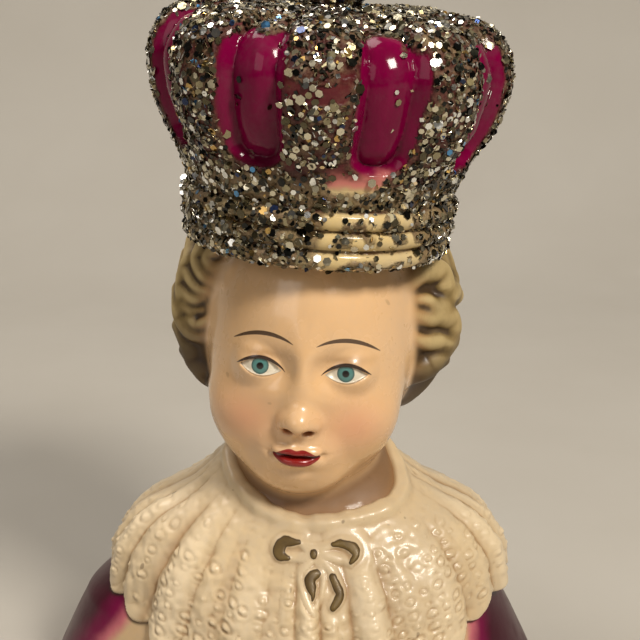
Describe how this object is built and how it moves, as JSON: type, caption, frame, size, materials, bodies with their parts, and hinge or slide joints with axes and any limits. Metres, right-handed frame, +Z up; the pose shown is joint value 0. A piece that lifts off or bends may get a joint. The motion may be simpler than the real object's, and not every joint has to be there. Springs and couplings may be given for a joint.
{
  "type": "infant of prague statue",
  "caption": "Bust of a crowned child saint: painted plaster head in a tall ribbed crown with orb and cross, over a scalloped lace cape collar, cut flat below to stand",
  "frame": {"origin": "middle of the flat underside's bounding box, on the surface it stands on", "axes": "+Z up through the crown, -Y is where the face looks, +X is to the viewer's right"},
  "size_m": [0.088, 0.0588, 0.1345],
  "materials": {
    "painted_plaster": "satin"
  },
  "bodies": {
    "root": {"crowned_child_bust": "painted_plaster"}
  },
  "joints": []
}
